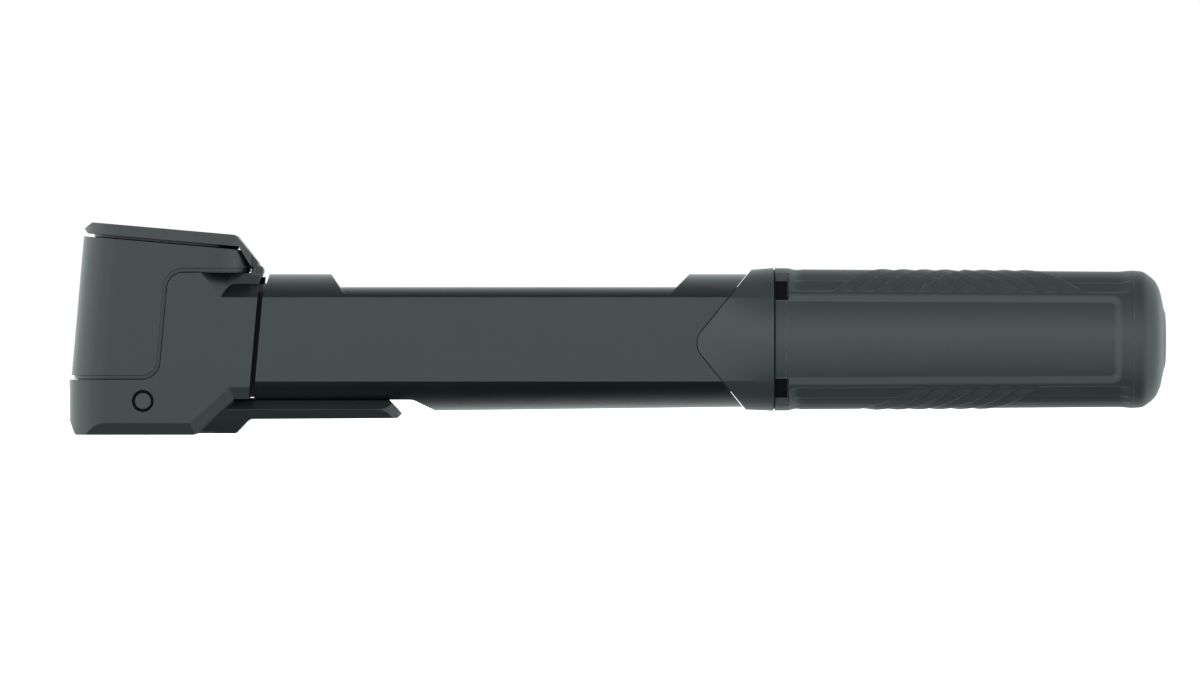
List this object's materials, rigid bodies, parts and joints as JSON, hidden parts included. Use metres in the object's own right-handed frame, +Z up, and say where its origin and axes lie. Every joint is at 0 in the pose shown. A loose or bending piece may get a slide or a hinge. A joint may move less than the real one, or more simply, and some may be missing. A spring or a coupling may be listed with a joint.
{
  "type": "mini pump",
  "caption": "Slim hand pump for bicycle tyres with a clamping valve head, a hinged dust cap and a sliding, turning grip.",
  "frame": {"origin": "on the base plane of the valve head, under the centre of the closed pump's box", "axes": "+X along the pump axis from the valve head to the grip, +Z up away from the clamp lever, Y across"},
  "size_m": [0.23, 0.03, 0.0445],
  "materials": {
    "dark_shell": "fine satin, moulded",
    "cap_plastic": "satin, moulded",
    "grip_rubber": "soft satin rubber",
    "seal_rubber": "smooth",
    "inner_plastic": "turned or moulded",
    "tube_black": "black anodised, satin",
    "rod_alloy": "drawn, bright",
    "anodised": "turned, dark anodised",
    "steel_pin": "ground",
    "dark_steel": "blackened, satin",
    "brass_part": "turned"
  },
  "bodies": {
    "barrel": {"head_body": "dark_shell", "valve_housing": "dark_shell", "nozzle_ring": "anodised", "lever_pin": "dark_steel", "cap_pin": "inner_plastic", "barrel_tube": "tube_black", "tube_gasket": "seal_rubber", "valve_plug": "inner_plastic", "barrel_shell": "dark_shell", "collar": "dark_shell", "rod_guide": "inner_plastic", "rod_seal": "seal_rubber", "bumper": "seal_rubber", "valve_grommet": "seal_rubber"},
    "plunger": {"plunger": "inner_plastic", "plunger_rings": "seal_rubber", "core_pin": "brass_part"},
    "lever": {"clamp_lever": "dark_shell"},
    "cap": {"dust_cap": "cap_plastic"},
    "check_valve": {"check_disc": "seal_rubber"},
    "piston": {"piston": "inner_plastic", "piston_seal": "seal_rubber", "piston_screw": "steel_pin", "piston_washer": "steel_pin", "piston_rod": "rod_alloy", "rod_clip": "steel_pin", "rod_washer": "steel_pin", "rod_nut": "steel_pin"},
    "grip": {"front_ring": "dark_shell", "grip_bush": "inner_plastic", "grip_core": "inner_plastic", "grip_sleeve": "grip_rubber", "end_plug": "grip_rubber"}
  },
  "joints": [
    {"name": "pump_stroke", "type": "slide", "parent": "barrel", "child": "piston", "axis": [1, 0, 0], "range_m": [0, 0.16]},
    {"name": "grip_twist", "type": "hinge", "parent": "piston", "child": "grip", "pos_m": [0.09, 0, 0.02], "axis": [1, 0, 0], "continuous": true},
    {"name": "lever_clamp", "type": "hinge", "parent": "barrel", "child": "lever", "pos_m": [-0.0995, 0, 0.0071], "axis": [0, 1, 0], "range_deg": [0, 90]},
    {"name": "plunger_lift", "type": "slide", "parent": "barrel", "child": "plunger", "axis": [0.0872, 0, 0.9962], "range_m": [0, 0.0022], "deforming": ["valve_grommet"]},
    {"name": "cap_flip", "type": "hinge", "parent": "barrel", "child": "cap", "pos_m": [-0.07543, 0, 0.03441], "axis": [0, 1, 0], "range_deg": [0, 100]},
    {"name": "check_lift", "type": "slide", "parent": "barrel", "child": "check_valve", "axis": [-1, 0, 0], "range_m": [0, 0.0007], "stiffness_N_per_m": 20}
  ],
  "couplings": [
    {"joint": "plunger_lift", "follows": "lever_clamp", "m_per_rad": 0.0012732}
  ]
}
